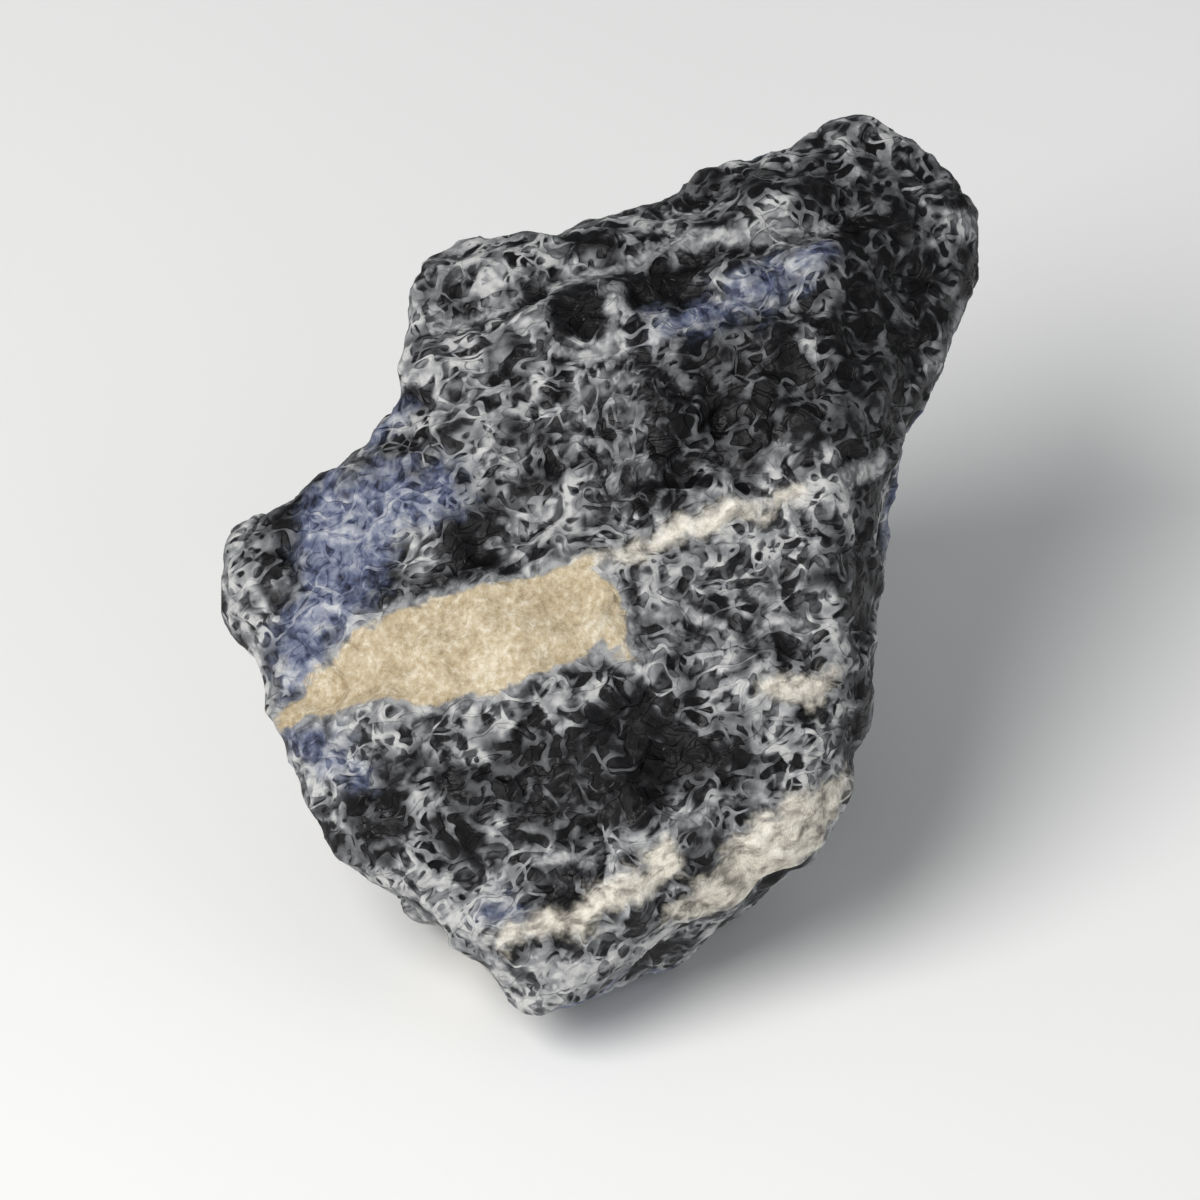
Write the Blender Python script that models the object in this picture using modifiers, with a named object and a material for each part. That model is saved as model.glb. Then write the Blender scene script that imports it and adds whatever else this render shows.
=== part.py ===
"""A rough sodalite stone: one broken lump of rock that rests on a small flat spot.

The stone is first blocked out by its corners, as a convex lump of flat fracture faces.
Curved scars are then cut from it, its edges are worn round, and its ledges, dents and chips
are raised and sunk on the worn surface. Metres, +Z up, front towards -Y, origin in the middle
of the bounding box on the surface that the stone rests on.
"""

import math

import bmesh
import bpy
from mathutils import Matrix, Vector, noise

NAME = "sodalite_stone"
MM = 0.001

# The broad front face leans back, and its corners are easiest to read square on to it, from
# above the front. A point "on the face" is (right, up, out) in millimetres from the face's
# middle, seen along a line that comes down at FACE_VIEW degrees.
FACE_VIEW = 40.0
FACE_MIDDLE_HEIGHT = 21.6

# Corners on the outline, clockwise from the left shoulder
OUTLINE = {
    "shoulder low": (-13.2, 14.6, -2.0),
    "shoulder": (-11.6, 19.2, -3.2),
    "knob top": (17.4, 29.6, -8.0),
    "knob crown": (21.6, 28.0, -8.0),
    "knob side": (24.0, 22.6, -8.0),
    "knob heel": (23.4, 17.4, -7.0),
    "right waist": (17.4, -1.0, -1.0),
    "right flank": (16.4, -9.0, 4.0),
    "right foot": (13.8, -16.2, 6.2),
    "right toe": (10.2, -18.8, 6.8),
    "tip right": (2.8, -25.4, 6.2),
    "tip": (-0.6, -27.6, 6.2),
    "tip left": (-5.3, -27.2, 5.6),
    "tip heel": (-6.2, -25.0, 5.0),
    "left toe": (-14.6, -18.7, 5.0),
    "left foot": (-16.4, -16.4, 4.5),
    "left flank": (-18.4, -9.7, 3.0),
    "ear low": (-23.1, -0.8, 0.5),
    "ear": (-23.8, 1.5, 0.0),
    "ear top": (-22.8, 3.6, -0.5),
}
# Corners between the broad faces that the outline encloses
FRONT = {
    "ledge left": (-9.0, 16.2, 0.4),
    "ledge middle": (-1.0, 18.6, 0.9),
    "ledge right": (9.4, 20.6, 1.4),
    "brow": (14.6, 19.2, 2.2),
    "side high": (15.0, 11.8, 5.3),
    "side middle": (15.2, 6.0, 7.4),
    "side low": (15.4, -1.5, 8.4),
    "side foot": (13.6, -9.0, 8.8),
    "fold middle": (2.2, -1.5, 9.3),
    "fold left": (-13.0, -6.5, 8.2),
    "left cheek": (-17.0, 0.5, 4.4),
    "sill right": (11.0, -13.6, 9.0),
    "sill middle": (5.0, -18.2, 9.6),
    "sill front": (-3.0, -19.6, 9.3),
    "tip crown": (-2.4, -24.6, 9.4),
    "sill left": (-11.0, -17.8, 8.2),
    "sill end": (-14.6, -14.6, 7.0),
}
# Corners that the front hides, as (right, back, height) in millimetres from the resting spot
BACK = {
    "nape": (-1.0, 19.5, 32.6),
    "left shoulder blade": (-11.0, 15.0, 28.0),
    "right shoulder blade": (19.5, 19.5, 27.5),
    "back ridge": (9.0, 24.2, 20.0),
    "back heel": (-2.0, 22.5, 10.0),
    "left hip": (-17.0, 10.5, 14.0),
    "right hip": (16.0, 14.0, 11.0),
    "belly left": (-13.0, -3.0, 6.0),
    "belly right": (14.0, -6.0, 5.5),
}
REST = {
    "rest front left": (-4.5, -10.5, 0.0),
    "rest front right": (4.5, -11.5, 0.0),
    "rest right": (10.5, -4.0, 0.0),
    "rest right back": (10.0, 8.0, 0.0),
    "rest back": (1.0, 14.0, 0.0),
    "rest left back": (-8.0, 9.0, 0.0),
    "rest left": (-10.0, -2.0, 0.0),
}

# Curved scars seen on the outline: centre on the face, then radius across and radius in depth
OUTLINE_SCARS = {
    "left notch": ((-27.6, 19.0, -4.0), 17.2, 26.0),
    "right hollow": ((40.0, 1.6, -4.0), 22.2, 34.0),
    "foot hollow": ((-16.7, -31.3, 2.0), 12.8, 20.0),
    "top hollow": ((-7.4, 44.2, -12.0), 24.4, 30.0),
}
# Curved scars on the hidden sides: centre (right, back, height), then the three radii
HIDDEN_SCARS = {
    "back scar": ((3.0, 50.0, 24.0), (24.0, 28.5, 15.0)),
    "left scar": ((-35.0, 21.0, 9.0), (22.0, 22.0, 16.0)),
    "belly scar": ((12.0, -26.0, -12.0), (20.0, 20.0, 17.0)),
    "right scar": ((40.0, 10.0, 6.0), (25.0, 16.0, 14.0)),
}

# Ledges, grooves and dents of the front, in millimetres on the face
GROOVE = ((-12.5, 15.4), (-5.6, 16.6), (-1.0, 19.0), (7.5, 20.2), (16.4, 22.6))
GROOVE_HALF_WIDTH = 1.7
GROOVE_DEPTH = 1.6
# Each dent: (right, up), (radius across, radius along), depth, turn in degrees
DENTS = {
    "left pit": ((-0.6, 15.6), (2.2, 1.8), 1.1, 0.0),
    "right pit": ((4.8, 17.6), (3.0, 1.9), 1.2, 12.0),
    "middle dent": ((-6.6, 1.6), (2.2, 2.8), 0.6, 0.0),
    "bowl beside the band": ((9.0, -2.6), (7.6, 4.4), 0.9, 10.0),
    "lower bowl": ((-1.5, -13.2), (7.5, 3.6), 0.8, 4.0),
    "glassy hollow": ((8.5, 9.5), (5.0, 6.5), 0.7, -12.0),
}

# Relief of the whole surface, in millimetres: rolling lumps, then big and small tilted chips
LUMP_SIZE = 13.0
LUMP_DEPTH = 0.9
BIG_CHIP_SIZE = 10.0
BIG_CHIP_DEPTH = 2.4
SMALL_CHIP_SIZE = 4.4
SMALL_CHIP_DEPTH = 1.15
CHIP_CRISPNESS = 22.0
# Beds run across the stone, and broken edges step down along them
BED_ACROSS = (-0.34, 0.90, 0.28)
BED_THICKNESS = 6.5
BED_STEP = 0.9

VOXEL = 0.6 * MM
WEAR_ROUNDS = 4
TRIANGLES = 9400
# The relief fades out over CALM_HEIGHT above the bottom, which is then cut off level
CALM_HEIGHT = 3.0
REST_SINK = 0.5


def from_face(right, up, out):
    """World place of a point given on the leaning front face, in metres."""
    tilt = math.radians(FACE_VIEW)
    back = up * math.sin(tilt) - out * math.cos(tilt)
    height = up * math.cos(tilt) + out * math.sin(tilt) + FACE_MIDDLE_HEIGHT
    return Vector((right, back, height)) * MM


def to_face(point):
    """The (right, up, out) in millimetres of a world point: from_face turned round."""
    tilt = math.radians(FACE_VIEW)
    back = point.y / MM
    height = point.z / MM - FACE_MIDDLE_HEIGHT
    up = back * math.sin(tilt) + height * math.cos(tilt)
    out = height * math.sin(tilt) - back * math.cos(tilt)
    return point.x / MM, up, out


def clear_scene():
    for old in list(bpy.data.objects):
        bpy.data.objects.remove(old)


def new_collection(name):
    made = bpy.data.collections.new(name)
    bpy.context.scene.collection.children.link(made)
    return made


def new_object(name, shape, collection):
    """An object holding the bmesh, which is used up."""
    bmesh.ops.recalc_face_normals(shape, faces=shape.faces)
    mesh = bpy.data.meshes.new(name)
    shape.to_mesh(mesh)
    shape.free()
    made = bpy.data.objects.new(name, mesh)
    collection.objects.link(made)
    return made


def new_helper(name, shape, collection):
    """The same, for a shape that only helps to make the stone."""
    made = new_object(name, shape, collection)
    made.hide_render = True
    made.display_type = "WIRE"
    return made


def blocked_out():
    """The convex lump that all the corners span."""
    corners = [from_face(*place) for place in (*OUTLINE.values(), *FRONT.values())]
    corners += [Vector(place) * MM for place in (*BACK.values(), *REST.values())]
    lump = bmesh.new()
    for corner in corners:
        lump.verts.new(corner)
    hull = bmesh.ops.convex_hull(lump, input=lump.verts)
    inside = {v for v in hull["geom_interior"] if isinstance(v, bmesh.types.BMVert)}
    bmesh.ops.delete(lump, geom=list(inside), context="VERTS")
    return lump


def ball(centre, radii, turn):
    """A ball stretched to three radii in millimetres, turned about X by degrees."""
    shape = bmesh.new()
    size = Matrix.Diagonal((*(radius * MM for radius in radii), 1.0))
    place = Matrix.Translation(centre) @ Matrix.Rotation(math.radians(turn), 4, "X") @ size
    bmesh.ops.create_icosphere(shape, subdivisions=5, radius=1.0, matrix=place)
    return shape


def cut_scars(stone, collection):
    """One curved scar for each entry above, cut by a hidden ball."""
    balls = {}
    for name, (centre, across, depth) in OUTLINE_SCARS.items():
        # Turned so that the deep radius lies along the view of the face
        balls[name] = ball(from_face(*centre), (across, across, depth), 90.0 - FACE_VIEW)
    for name, (centre, radii) in HIDDEN_SCARS.items():
        balls[name] = ball(Vector(centre) * MM, radii, 0.0)
    for name, shape in balls.items():
        cutter = new_helper("cut " + name, shape, collection)
        cut = stone.modifiers.new(name, "BOOLEAN")
        cut.operation = "DIFFERENCE"
        cut.solver = "EXACT"
        cut.object = cutter


def wear(stone, rounds):
    """Even squares over the whole stone, then smoothing, which wears its edges round."""
    even = stone.modifiers.new("even squares", "REMESH")
    even.mode = "VOXEL"
    even.voxel_size = VOXEL
    worn = stone.modifiers.new("worn edges", "SMOOTH")
    worn.factor = 0.5
    worn.iterations = rounds


def evaluated(stone):
    """A bmesh of the stone with its modifiers applied."""
    bpy.context.view_layer.update()
    graph = bpy.context.evaluated_depsgraph_get()
    shape = bmesh.new()
    shape.from_object(stone, graph)
    return shape


def distance_to_line(right, up, line):
    """Millimetres from a place on the face to a line of straight pieces."""
    here = Vector((right, up))
    nearest = 1000.0
    for start, end in zip(line, line[1:]):
        start = Vector(start)
        piece = Vector(end) - start
        part = max(0.0, min(1.0, (here - start).dot(piece) / piece.length_squared))
        nearest = min(nearest, (here - start - piece * part).length)
    return nearest


def soft_hollow(distance):
    """A rounded hollow's share of its depth: 1 in its middle, 0 from a distance of 1 on."""
    return (1.0 - distance * distance) ** 2 if distance < 1.0 else 0.0


def front_relief(point, normal):
    """Millimetres that the ledges and dents of the front add at a point of the surface."""
    facing = normal.dot(from_face(0.0, 0.0, 1.0) - from_face(0.0, 0.0, 0.0)) / MM
    if facing < 0.15:
        return 0.0
    right, up, _ = to_face(point)
    groove = distance_to_line(right, up, GROOVE) / GROOVE_HALF_WIDTH
    height = -GROOVE_DEPTH * soft_hollow(groove)
    for (middle_right, middle_up), (across, along), depth, turn in DENTS.values():
        turn = math.radians(turn)
        step_right = right - middle_right
        step_up = up - middle_up
        step_across = step_right * math.cos(turn) + step_up * math.sin(turn)
        step_along = step_up * math.cos(turn) - step_right * math.sin(turn)
        height -= depth * soft_hollow(math.hypot(step_across / across, step_along / along))
    return height * min(1.0, (facing - 0.15) / 0.35)


def tilt_of(cell):
    """A cell's own tilt, from noise at three places that the cell's middle picks."""
    place = cell * 5.7
    right = noise.noise(place)
    back = noise.noise(place + Vector((19.1, 7.3, 3.7)))
    height = noise.noise(place - Vector((5.3, 11.9, 23.1)))
    return Vector((right, back, height))


def chips(point, size, depth, seed):
    """Millimetres of flat, tilted chips about so big: each cell has its own tilt and level."""
    place = point / MM / size + Vector((seed, -seed, 0.5 * seed))
    distances, middles = noise.voronoi(place)
    level = 0.0
    total = 0.0
    for distance, middle in zip(distances, middles):
        share = math.exp(-CHIP_CRISPNESS * (distance - distances[0]))
        tilt = tilt_of(middle)
        level += share * (tilt.dot(place - middle) + 0.35 * tilt.x)
        total += share
    return depth * level / total


def bed_steps(point):
    """Millimetres of the ledges: the surface slopes out over each bed and drops at its end."""
    place = Vector(to_face(point))
    across = place.dot(Vector(BED_ACROSS)) + 2.4 * noise.noise(point / MM / 11.0)
    part = (across / BED_THICKNESS) % 1.0
    slope = part / 0.82 if part < 0.82 else (1.0 - part) / 0.18
    shown = noise.noise(point / MM / 12.0 + Vector((7.0, 3.0, 1.0))) + 0.1
    return BED_STEP * (slope - 0.5) * max(0.0, min(1.0, 2.2 * shown))


def roughen(shape):
    """Moves each point of the worn surface in or out by the front's relief, lumps and chips."""
    moves = {}
    for vertex in shape.verts:
        point = vertex.co
        relief = front_relief(point, vertex.normal)
        relief += LUMP_DEPTH * noise.noise(point / MM / LUMP_SIZE)
        relief += chips(point, BIG_CHIP_SIZE, BIG_CHIP_DEPTH, 5.0)
        relief += chips(point, SMALL_CHIP_SIZE, SMALL_CHIP_DEPTH, 13.0)
        relief += bed_steps(point)
        shown = max(0.0, min(1.0, (point.z / MM - REST_SINK) / CALM_HEIGHT))
        moves[vertex] = vertex.normal * relief * shown * MM
    for vertex, move in moves.items():
        vertex.co += move


def drop_pockets(shape):
    """Removes every closed shell but the largest, which is the stone's outside."""
    left = set(shape.verts)
    shells = []
    while left:
        shell = [left.pop()]
        for vertex in shell:
            for edge in vertex.link_edges:
                other = edge.other_vert(vertex)
                if other in left:
                    left.remove(other)
                    shell.append(other)
        shells.append(shell)
    shells.sort(key=len)
    for shell in shells[:-1]:
        bmesh.ops.delete(shape, geom=shell, context="VERTS")


def thin_out(stone):
    """Collapses the surface to the wanted number of triangles."""
    triangles = 2 * len(stone.data.polygons)
    thinner = stone.modifiers.new("fewer triangles", "DECIMATE")
    thinner.decimate_type = "COLLAPSE"
    thinner.ratio = TRIANGLES / triangles


def flatten_rest(shape):
    """Cuts the resting spot flat, and puts the origin in the middle of the box on it."""
    bmesh.ops.triangulate(shape, faces=shape.faces)
    everything = [*shape.verts, *shape.edges, *shape.faces]
    level = Vector((0.0, 0.0, REST_SINK * MM))
    cut = bmesh.ops.bisect_plane(
        shape, geom=everything, plane_co=level, plane_no=(0.0, 0.0, -1.0), clear_outer=True
    )
    rim = [part for part in cut["geom_cut"] if isinstance(part, bmesh.types.BMEdge)]
    bmesh.ops.contextual_create(shape, geom=rim)
    middle = Vector((0.0, 0.0, REST_SINK * MM))
    for axis in (0, 1):
        values = [vertex.co[axis] for vertex in shape.verts]
        middle[axis] = (min(values) + max(values)) / 2.0
    bmesh.ops.translate(shape, verts=shape.verts, vec=-middle)


def stone_material():
    material = bpy.data.materials.new("sodalite")
    material.use_nodes = True
    shader = material.node_tree.nodes["Principled BSDF"]
    shader.inputs["Base Color"].default_value = (0.055, 0.062, 0.085, 1.0)
    shader.inputs["Roughness"].default_value = 0.7
    return material


def main():
    clear_scene()
    stone_parts = new_collection("rough_sodalite")
    cutters = new_collection("cutters")
    rough = new_helper("blocked out", blocked_out(), cutters)
    cut_scars(rough, cutters)
    wear(rough, WEAR_ROUNDS)
    worn = evaluated(rough)
    roughen(worn)
    roughened = new_helper("roughened", worn, cutters)
    wear(roughened, 1)
    outside = evaluated(roughened)
    drop_pockets(outside)
    dense = new_helper("dense", outside, cutters)
    thin_out(dense)
    final = evaluated(dense)
    flatten_rest(final)
    stone = new_object(NAME, final, stone_parts)
    stone.data.materials.append(stone_material())
    stone.data.set_sharp_from_angle(angle=math.radians(40.0))


main()
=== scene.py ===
# %% [markdown]
# # A rough sodalite stone
# Sodalite is a dark to royal blue mineral. Broken lumps of it show nearly black, glassy
# grains, clouds and hairlines of grey-white mineral between them, and seams of cream feldspar.
# The solid model already has the stone's form. This lesson loads it as a fixed frame, and
# dresses it: first a finer surface with real relief, then the mineral markings, then one
# material that turns the markings into colour, gloss and grain.

# %% Load the solid model
import math

import bmesh
import bpy
import numpy as np
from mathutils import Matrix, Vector, noise
from mathutils.bvhtree import BVHTree


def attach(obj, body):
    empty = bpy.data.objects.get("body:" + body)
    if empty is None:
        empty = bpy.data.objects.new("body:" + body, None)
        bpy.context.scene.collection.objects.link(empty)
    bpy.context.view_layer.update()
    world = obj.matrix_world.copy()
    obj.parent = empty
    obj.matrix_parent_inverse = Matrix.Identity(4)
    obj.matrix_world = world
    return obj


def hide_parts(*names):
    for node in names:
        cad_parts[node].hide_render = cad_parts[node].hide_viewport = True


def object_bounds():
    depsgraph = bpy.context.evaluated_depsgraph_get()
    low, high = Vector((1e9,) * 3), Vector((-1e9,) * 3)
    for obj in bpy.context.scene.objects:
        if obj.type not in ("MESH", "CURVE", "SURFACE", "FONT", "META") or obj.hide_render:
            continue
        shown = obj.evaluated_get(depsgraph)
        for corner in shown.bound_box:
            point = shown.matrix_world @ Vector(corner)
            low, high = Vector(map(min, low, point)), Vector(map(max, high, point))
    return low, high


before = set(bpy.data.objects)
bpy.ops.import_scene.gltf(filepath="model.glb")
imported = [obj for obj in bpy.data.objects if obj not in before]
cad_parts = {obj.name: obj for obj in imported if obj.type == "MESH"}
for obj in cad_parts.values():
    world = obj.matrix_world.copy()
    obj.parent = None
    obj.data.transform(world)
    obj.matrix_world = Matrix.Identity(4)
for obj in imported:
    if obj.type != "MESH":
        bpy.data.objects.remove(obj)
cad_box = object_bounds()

MM = 0.001
STONE = "sodalite_stone"
print("box of the solid in mm:", [[round(v / MM, 2) for v in corner] for corner in cad_box])

# %% [markdown]
# ## Where the camera and the light stand
# The stone is seen from above its front, along a line that comes down at 40 degrees. A very
# long lens keeps its sides parallel, as in a product picture taken from far off. The light is
# one large soft box at the upper left, a weak one at the right, so that the right side falls
# into shade, and a weak one low in front, which stands for light thrown up by a pale table.

# %% Camera
LOOK_DOWN = 40.0
FRAME_HEIGHT = 74.0 * MM
FRAME_MIDDLE = Vector((-0.09, -0.5, 18.6)) * MM
LENS = 500.0


def direction(azimuth, elevation):
    """Unit vector from the stone towards a viewer at these angles in degrees."""
    turn = math.radians(azimuth)
    rise = math.radians(elevation)
    return Vector((math.sin(turn) * math.cos(rise), -math.cos(turn) * math.cos(rise), math.sin(rise)))


def add_camera():
    data = bpy.data.cameras.new("camera")
    data.lens = LENS
    camera = bpy.data.objects.new("camera", data)
    bpy.context.scene.collection.objects.link(camera)
    bpy.context.scene.camera = camera
    towards = direction(0.0, LOOK_DOWN)
    distance = FRAME_HEIGHT * LENS / data.sensor_width
    camera.location = FRAME_MIDDLE + towards * distance
    camera.rotation_mode = "QUATERNION"
    camera.rotation_quaternion = towards.to_track_quat("Z", "Y")
    data.clip_start = 0.01
    return camera


camera = add_camera()
print("camera at", [round(value / MM) for value in camera.location], "mm")

# %% Floor, backdrop light and soft boxes
LAMPS_AIM = Vector((0.0, 0.0, 20.0)) * MM


def add_floor():
    shape = bmesh.new()
    bmesh.ops.create_grid(shape, x_segments=1, y_segments=1, size=3.0)
    data = bpy.data.meshes.new("floor")
    shape.to_mesh(data)
    shape.free()
    floor = bpy.data.objects.new("floor", data)
    bpy.context.scene.collection.objects.link(floor)
    paint = bpy.data.materials.new("pale floor")
    paint.use_nodes = True
    shader = paint.node_tree.nodes["Principled BSDF"]
    shader.inputs["Base Color"].default_value = (0.92, 0.92, 0.91, 1.0)
    shader.inputs["Roughness"].default_value = 0.9
    data.materials.append(paint)


def add_soft_box(name, azimuth, elevation, distance, size, watts, colour):
    """A round lamp, size metres wide and distance metres away, that faces the stone."""
    data = bpy.data.lights.new(name, "AREA")
    data.shape = "DISK"
    data.size = size
    data.energy = watts
    data.color = colour
    lamp = bpy.data.objects.new(name, data)
    bpy.context.scene.collection.objects.link(lamp)
    towards = direction(azimuth, elevation)
    lamp.location = LAMPS_AIM + towards * distance
    lamp.rotation_mode = "QUATERNION"
    lamp.rotation_quaternion = towards.to_track_quat("Z", "Y")


def add_backdrop_light(colour, strength):
    world = bpy.data.worlds.new("backdrop")
    world.use_nodes = True
    background = world.node_tree.nodes["Background"]
    background.inputs["Color"].default_value = (*colour, 1.0)
    background.inputs["Strength"].default_value = strength
    bpy.context.scene.world = world


add_floor()
add_backdrop_light((0.94, 0.97, 1.0), 0.26)
add_soft_box("key", -46.0, 48.0, 0.55, 0.38, 2.95, (1.0, 0.99, 0.975))
add_soft_box("fill", 60.0, 35.0, 0.6, 0.4, 0.34, (0.93, 0.96, 1.0))
add_soft_box("low front", 0.0, 6.0, 0.6, 0.3, 0.55, (1.0, 1.0, 1.0))
bpy.context.scene.view_settings.view_transform = "Standard"

# %% [markdown]
# ## A finer surface
# The solid has about nine thousand triangles, enough for its ledges and chips. Broken rock
# also has relief that is finer than those triangles: small facets, pits, and raised
# threads where a harder mineral stands out. A copy of the solid is remeshed to small even
# squares, because moving points only makes good relief where the points are evenly spread.

# %% Copy and remesh the solid
FINE = 0.295 * MM
SMOOTH_ROUNDS = 3


def merged_copy(node, name):
    """A new object with the node's mesh, its loose triangles merged into one skin."""
    shape = bmesh.new()
    shape.from_mesh(node.data)
    bmesh.ops.remove_doubles(shape, verts=shape.verts, dist=1e-6)
    data = bpy.data.meshes.new(name)
    shape.to_mesh(data)
    shape.free()
    made = bpy.data.objects.new(name, data)
    bpy.context.scene.collection.objects.link(made)
    return made


def remeshed(piece, size, rounds):
    """Gives the piece even squares and a smoothed surface, applied to its mesh."""
    even = piece.modifiers.new("even squares", "REMESH")
    even.mode = "VOXEL"
    even.voxel_size = size
    smooth = piece.modifiers.new("smooth", "SMOOTH")
    smooth.iterations = rounds
    graph = bpy.context.evaluated_depsgraph_get()
    data = bpy.data.meshes.new_from_object(piece.evaluated_get(graph))
    piece.modifiers.clear()
    piece.data = data


stone = merged_copy(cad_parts[STONE], "rough_stone")
remeshed(stone, FINE, SMOOTH_ROUNDS)
print("points of the finer surface:", len(stone.data.vertices))

# %% Read a mesh into arrays
def read(items, name, width):
    """One property of all vertices or edges of a mesh as an array, width numbers a row."""
    whole = np.int64 if name == "vertices" else np.float64
    values = np.empty(len(items) * width, whole)
    items.foreach_get(name, values)
    return values.reshape(-1, width)


def store(piece, name, values):
    """Keeps one number for each point of the piece, for its material to read."""
    layer = piece.data.attributes.new(name, "FLOAT", "POINT")
    layer.data.foreach_set("value", values.astype(np.float32))


smooth_normals = read(stone.data.vertices, "normal", 3)
facing_front = smooth_normals @ np.array(direction(0.0, LOOK_DOWN))
print("share of the surface that faces the front:", round(float((facing_front > 0.3).mean()), 2))

# %% [markdown]
# ## Relief
# Three kinds of relief are carved, from large to small. Tilted chips come from a cell
# pattern: each cell is a small plane with its own tilt, so neighbours meet in crisp edges.
# Threads are raised along the borders of a second, warped cell pattern. Grain is plain
# fine noise. Chips cut inwards and hardly stand out, so the stone keeps its outline. Every
# point moves along its normal, less near the ground, so the resting spot stays flat.

# %% Patterns in space
def tilt_of(cell):
    """A cell's own tilt, from noise at places that the cell's middle picks."""
    place = cell * 5.7
    return Vector((
        noise.noise(place),
        noise.noise(place + Vector((19.1, 7.3, 3.7))),
        noise.noise(place - Vector((5.3, 11.9, 23.1))),
    ))


def chips(point, size, crispness, seed):
    """Height of small tilted planes about as wide as size, for a point in millimetres."""
    place = point / size + Vector((seed, -seed, 0.5 * seed))
    distances, middles = noise.voronoi(place)
    level = 0.0
    total = 0.0
    for distance, middle in zip(distances[:3], middles[:3]):
        share = math.exp(-crispness * (distance - distances[0]))
        tilt = tilt_of(middle)
        level += share * (tilt.dot(place - middle) + 0.3 * tilt.x)
        total += share
    return level / total


def warped(point, size, amount):
    """The point pushed sideways by slow noise, so that a pattern there bends."""
    place = point / size
    push = Vector((
        noise.noise(place),
        noise.noise(place + Vector((31.0, 0.0, 0.0))),
        noise.noise(place + Vector((0.0, 47.0, 0.0))),
    ))
    return point + push * amount


def threads(point, size, width, seed):
    """How much a point lies on a thread: 1 on a cell border, falling to 0 beside it."""
    place = warped(point, 2.2, 1.3) / size + Vector((seed, seed, seed))
    distances, _ = noise.voronoi(place)
    gap = (distances[1] - distances[0]) / width
    return math.exp(-gap * gap)


print("a chip is", round(chips(Vector((1.0, 2.0, 3.0)), 2.2, 18.0, 3.0), 3), "high at one point")

# %% Raise the relief
# Each kind of chip: its width and depth in millimetres, how crisp its edges are, and its seed
CHIPS = ((4.4, 1.9, 13.0, 5.0), (2.2, 0.95, 12.0, 9.0), (1.2, 0.28, 10.0, 14.0))
MOST_OUT = 0.03
THREAD_HEIGHT = 0.13
GRAIN_HEIGHT = 0.05
FLAT_BELOW = 0.25
FULL_RELIEF_AFTER = 1.5


def relief_at(point):
    """(height, thread) of the relief at a point, both read in millimetres."""
    height = sum(min(MOST_OUT, depth * chips(point, size, crisp, seed))
                 for size, depth, crisp, seed in CHIPS)
    coarse = threads(point, 2.5, 0.24, 3.0) * min(1.0, max(0.15, 0.7 + 1.6 * noise.noise(point / 3.1)))
    fine = threads(point, 1.5, 0.28, 8.0) * min(1.0, max(0.0, 0.5 - 1.8 * noise.noise(point / 3.7)))
    thread = max(coarse, 0.8 * fine)
    height += THREAD_HEIGHT * thread
    height += GRAIN_HEIGHT * noise.noise(point * 1.9)
    return height, thread


def raise_relief(piece, box):
    """Moves the piece's points by the relief, kept inside the box; returns the threads."""
    low, high = box
    lines = np.zeros(len(piece.data.vertices))
    moved = []
    for vertex in piece.data.vertices:
        point = vertex.co / MM
        height, lines[vertex.index] = relief_at(point)
        shown = min(1.0, max(0.0, (point.z - FLAT_BELOW) / FULL_RELIEF_AFTER))
        place = vertex.co + vertex.normal * height * shown * MM
        if point.z < FLAT_BELOW:
            place.z = 0.0
        moved.append([min(max(value, low[axis]), high[axis]) for axis, value in enumerate(place)])
    piece.data.vertices.foreach_set("co", np.array(moved, np.float32).ravel())
    piece.data.update()
    return lines


corners = [vertex.co for vertex in stone.data.vertices]
smooth_skin = BVHTree.FromPolygons(corners, [face.vertices for face in stone.data.polygons])
thread_lines = raise_relief(stone, cad_box)
print("share of the surface on a thread:", round(float((thread_lines > 0.5).mean()), 3))

# %% Find the crests
def crests(piece, rounds=2):
    """How far each point stands out of its neighbours: above 0 on crests, below 0 in hollows."""
    places = read(piece.data.vertices, "co", 3)
    ends = read(piece.data.edges, "vertices", 2)
    links = np.bincount(ends.ravel(), minlength=len(places))[:, None]
    around = places
    for _ in range(rounds):
        total = np.zeros_like(places)
        np.add.at(total, ends[:, 0], around[ends[:, 1]])
        np.add.at(total, ends[:, 1], around[ends[:, 0]])
        around = total / links
    out = ((places - around) * read(piece.data.vertices, "normal", 3)).sum(axis=1)
    return out / np.percentile(np.abs(out), 95)


store(stone, "thread", thread_lines)
store(stone, "crest", crests(stone))
stone.data.shade_smooth()
print("faces of the finer surface:", len(stone.data.polygons))

# %% [markdown]
# ## Mineral markings
# The cream seam, the blue clouds and the glassy dark grains are differences of mineral, not
# of height, so they are painted and not raised. The small black pits are holes, and the shade
# in them is painted black. Some dark strokes round the pits and on the shaded right side are
# partly painted shade, and a few pale strokes along the outline are painted highlights. On the
# front each marking is a few brush strokes, given as the stone is seen from its front: right
# and up from the face's middle, and the brush's radius, in millimetres. The strokes are
# dropped onto the surface, and every point of the mesh stores how deep inside a stroke it
# lies. The material later roughens that smooth distance with noise, so an edge stays sharp
# and ragged however coarse the mesh is.
#
# The hidden sides are finished by a rule. The seams are sheets that cut right through the
# rock, all parallel, so each is carried on round the stone as a wavy sheet of changing
# thickness. Clouds there come from slow noise. A few marks are on the front alone.

# %% Brush strokes dropped onto the stone
FACE_MIDDLE = Vector((-0.69, -0.86, 21.1))
FACE_OUT = direction(0.0, LOOK_DOWN)
FACE_RIGHT = Vector((1.0, 0.0, 0.0))
FACE_UP = FACE_OUT.cross(FACE_RIGHT)
WELL_ABOVE = 60.0
STROKE_STEP = 0.4
LEAST_FACING = 0.15
NOWHERE = -4.0

surface = read(stone.data.vertices, "co", 3) / MM


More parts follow.
